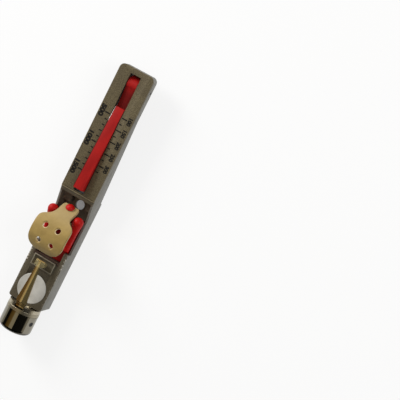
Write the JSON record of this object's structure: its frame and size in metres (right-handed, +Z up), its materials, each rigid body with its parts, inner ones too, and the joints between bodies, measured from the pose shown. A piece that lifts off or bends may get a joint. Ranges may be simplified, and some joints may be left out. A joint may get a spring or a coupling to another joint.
{
  "type": "belt tension tester",
  "caption": "Slim pocket gauge laid along a drive belt: a sprung finger saddle with a rubber strap is pressed until it clicks, and a red hinged arm is read against printed scales.",
  "frame": {"origin": "centre of the flat underside of the foot plate", "axes": "+X across the tool, +Y along the tool towards the scale end, +Z up, out of the scale face"},
  "size_m": [0.0212, 0.1519, 0.0268],
  "materials": {
    "body_metal": "satin cast metal with a faint grain",
    "foot_steel": "ground flat",
    "scale_face": "satin brown-grey metallic with dark printed scales",
    "red_plastic": "glossy moulded red",
    "tan_rubber": "smooth tan rubber",
    "steel": "plain steel",
    "dark_steel": "dark oiled steel",
    "spring_steel": "blue-grey spring steel",
    "shoe_black": "hard black glide plastic",
    "white_enamel": "plain off-white",
    "ring_metal": "pale satin metal",
    "chrome": "bright plated",
    "brass": "bright yellow brass"
  },
  "bodies": {
    "base": {"housing": "body_metal", "foot_plate": "foot_steel", "foot_screws": "dark_steel", "scale_plate": "scale_face", "arm_pivot_pin": "dark_steel", "friction_washers": "steel", "arm_stop_pin": "dark_steel", "guide_pins": "steel", "load_spring": "spring_steel", "click_blade": "spring_steel", "blade_screw": "dark_steel", "adjusting_screw": "steel", "lock_nut": "steel", "rest_block": "body_metal", "rest_block_screws": "dark_steel", "badge_disc": "white_enamel", "cap_stud": "steel", "clip_ring": "ring_metal", "cap_core": "steel", "end_cap": "chrome", "clip_hinge_pin": "dark_steel"},
    "arm": {"indicator_arm": "red_plastic", "feeler_shoe": "shoe_black"},
    "saddle": {"finger_saddle": "red_plastic", "strap_stud": "red_plastic"},
    "strap": {"finger_strap": "tan_rubber"},
    "clip": {"pocket_clip": "brass"}
  },
  "joints": [
    {"name": "arm_swing", "type": "hinge", "parent": "base", "child": "arm", "pos_m": [0, 0.096, 0.0096], "axis": [-1, 0, 0], "range_deg": [-4.9, 7]},
    {"name": "saddle_press", "type": "slide", "parent": "base", "child": "saddle", "axis": [0, 0, -1], "range_m": [0, 0.002], "stiffness_N_per_m": 2000, "deforming": ["load_spring", "click_blade"]},
    {"name": "strap_flex", "type": "hinge", "parent": "saddle", "child": "strap", "pos_m": [0, 0.0237, 0.013], "axis": [-1, 0, 0], "range_deg": [-2, 7], "stiffness_Nm_per_rad": 0.05},
    {"name": "clip_flex", "type": "hinge", "parent": "base", "child": "clip", "pos_m": [0, -0.0335, 0.0154], "axis": [1, 0, 0], "range_deg": [0, 8], "stiffness_Nm_per_rad": 0.4, "springref_deg": -2.86}
  ]
}
